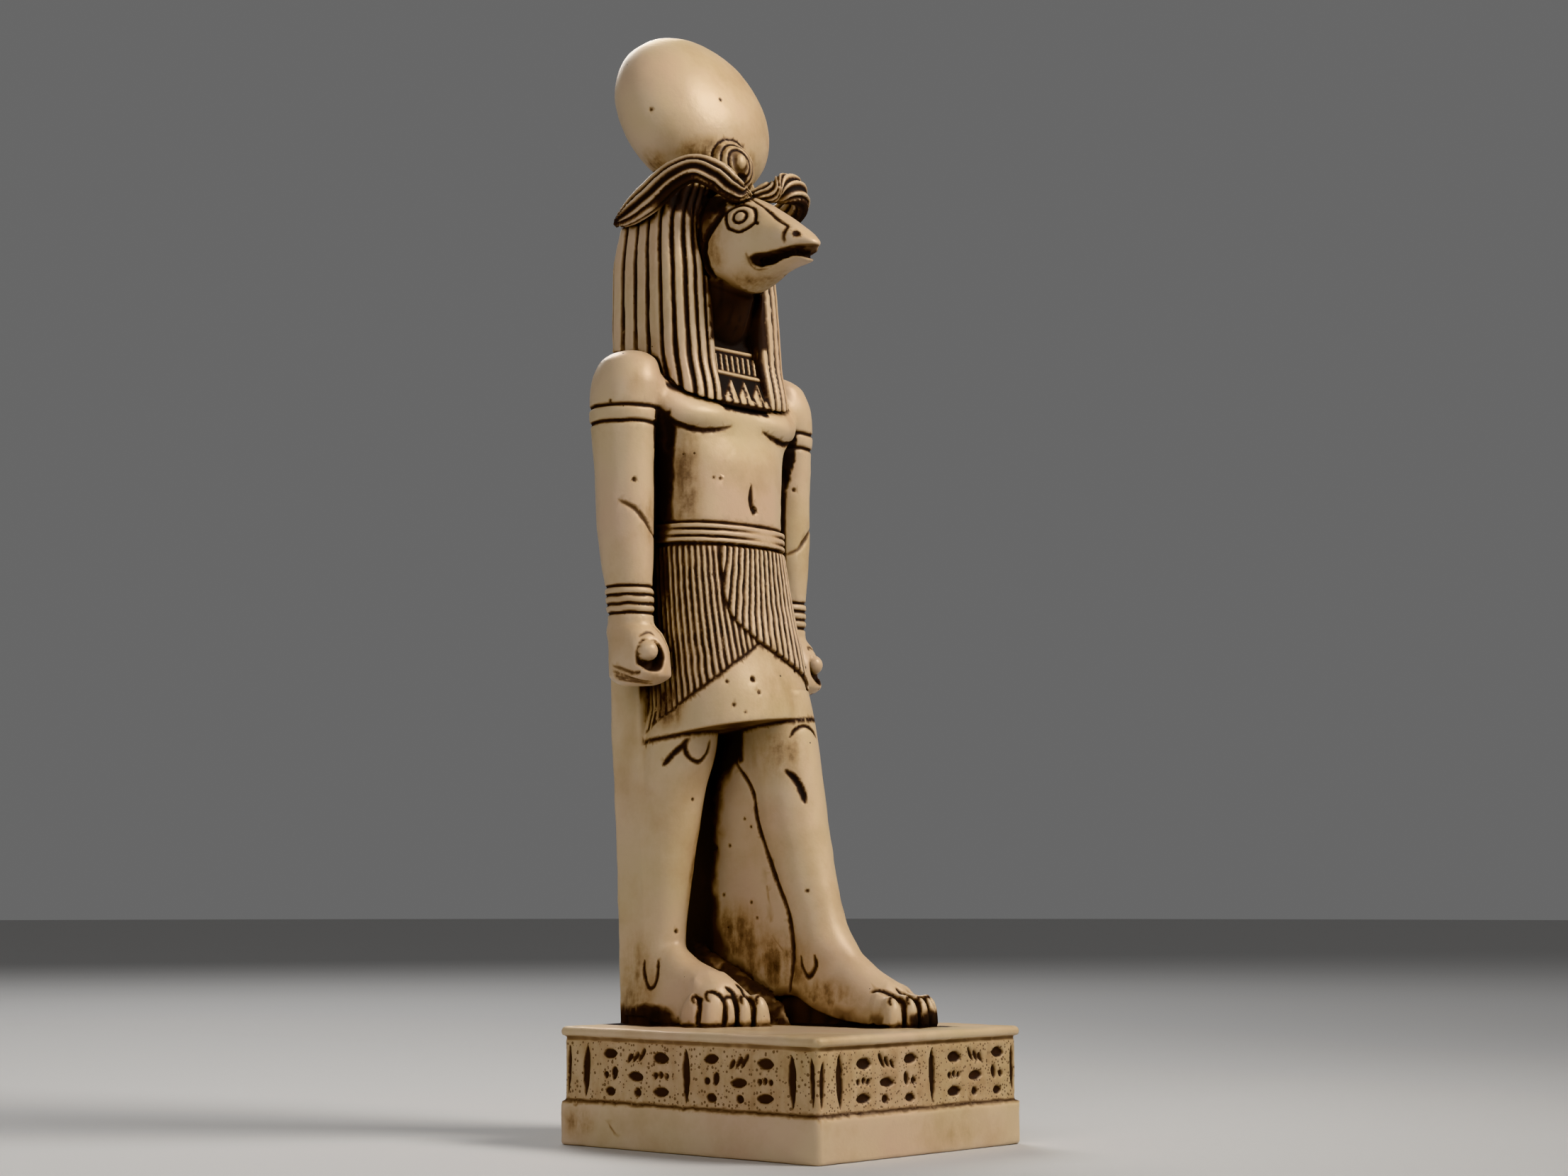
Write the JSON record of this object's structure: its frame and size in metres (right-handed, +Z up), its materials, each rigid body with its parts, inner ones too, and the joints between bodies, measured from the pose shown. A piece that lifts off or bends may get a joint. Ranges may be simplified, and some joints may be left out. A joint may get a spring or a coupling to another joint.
{
  "type": "khnum statue",
  "caption": "Small cast statue of a striding ram-headed figure with a sun disc, striped wig and pleated kilt on a plinth with a band of sunk strokes.",
  "frame": {"origin": "middle of the plinth's flat underside", "axes": "+Z up, the figure faces -Y, and its right hand is on the -X side"},
  "size_m": [0.0658, 0.0786, 0.2434],
  "materials": {
    "cast_ivory": "ivory-coloured casting with a satin rub on the high places and a dark brown wash left in every groove"
  },
  "bodies": {
    "root": {"statue_casting": "cast_ivory"}
  },
  "joints": []
}
